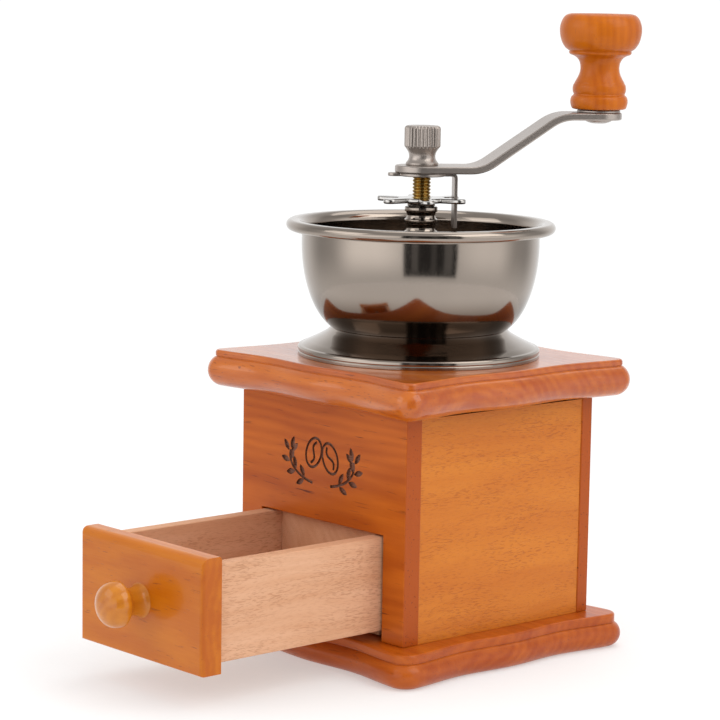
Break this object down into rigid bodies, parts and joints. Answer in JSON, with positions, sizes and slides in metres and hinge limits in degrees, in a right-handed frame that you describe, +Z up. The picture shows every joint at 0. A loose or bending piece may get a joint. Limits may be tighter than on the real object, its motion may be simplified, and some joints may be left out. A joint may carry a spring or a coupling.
{
  "type": "burr coffee grinder",
  "caption": "Hand-cranked burr coffee grinder: wooden box with a grounds drawer, open metal bean hopper, grind adjuster and a cranked arm with a turned knob.",
  "frame": {"origin": "centre of the base plate's underside, under the spindle's axis", "axes": "+Z up along the spindle, -Y out of the drawer's front, +X to the grinder's own right when its drawer faces the viewer"},
  "size_m": [0.1094, 0.2045, 0.2234],
  "materials": {
    "plate_lacquer": "stained wood under gloss lacquer",
    "front_wood": "red-brown stained wood, satin",
    "side_wood": "golden stained wood, satin",
    "raw_beech": "bare planed beech",
    "drawer_lacquer": "golden stained wood under gloss lacquer",
    "honey_lacquer": "pale turned wood under gloss lacquer",
    "knob_lacquer": "turned wood under satin lacquer",
    "black_nickel": "polished black nickel",
    "pearl_nickel": "satin pearl nickel",
    "bright_nickel": "bright nickel",
    "brass": "cut thread",
    "bronze": "turned",
    "cast_iron": "cast, ground on its working faces",
    "plain_steel": "zinc plated"
  },
  "bodies": {
    "housing": {"base_plate": "plate_lacquer", "base_screws": "plain_steel", "front_panel": "front_wood", "rear_panel": "front_wood", "side_panel_left": "side_wood", "side_panel_right": "side_wood", "top_dowels": "raw_beech", "top_plate": "plate_lacquer", "hopper_flange": "black_nickel", "hopper_bowl": "black_nickel", "bearing_bridge": "cast_iron", "bridge_screws": "plain_steel", "bridge_nuts": "plain_steel", "bridge_bushing": "bronze", "thrust_washer": "plain_steel", "outer_burr": "cast_iron"},
    "crank": {"spindle": "brass", "inner_burr": "cast_iron", "burr_washer": "plain_steel", "burr_nut": "plain_steel", "burr_spring": "plain_steel", "lock_bracket": "pearl_nickel", "crank_arm": "pearl_nickel", "cap_nut": "pearl_nickel", "knob_washer": "pearl_nickel", "knob_pin": "pearl_nickel"},
    "grind_adjuster": {"adjusting_collar": "black_nickel", "adjusting_wheel": "bright_nickel"},
    "knob": {"crank_knob": "knob_lacquer"},
    "drawer": {"drawer_front": "drawer_lacquer", "drawer_side_left": "raw_beech", "drawer_side_right": "raw_beech", "drawer_back": "raw_beech", "drawer_bottom": "raw_beech", "drawer_knob": "honey_lacquer", "drawer_knob_screw": "plain_steel"}
  },
  "joints": [
    {"name": "crank_turn", "type": "hinge", "parent": "housing", "child": "crank", "pos_m": [0, 0, 0.12], "axis": [0, 0, 1], "continuous": true},
    {"name": "grind_adjuster_turn", "type": "hinge", "parent": "crank", "child": "grind_adjuster", "pos_m": [0, 0, 0.15], "axis": [0, 0, 1], "range_deg": [-3, 3]},
    {"name": "crank_knob_spin", "type": "hinge", "parent": "crank", "child": "knob", "pos_m": [0.03451, 0.05235, 0.19], "axis": [0, 0, 1], "continuous": true},
    {"name": "drawer_slide", "type": "slide", "parent": "housing", "child": "drawer", "axis": [0, -1, 0], "range_m": [-0.0695, 0.004]}
  ]
}
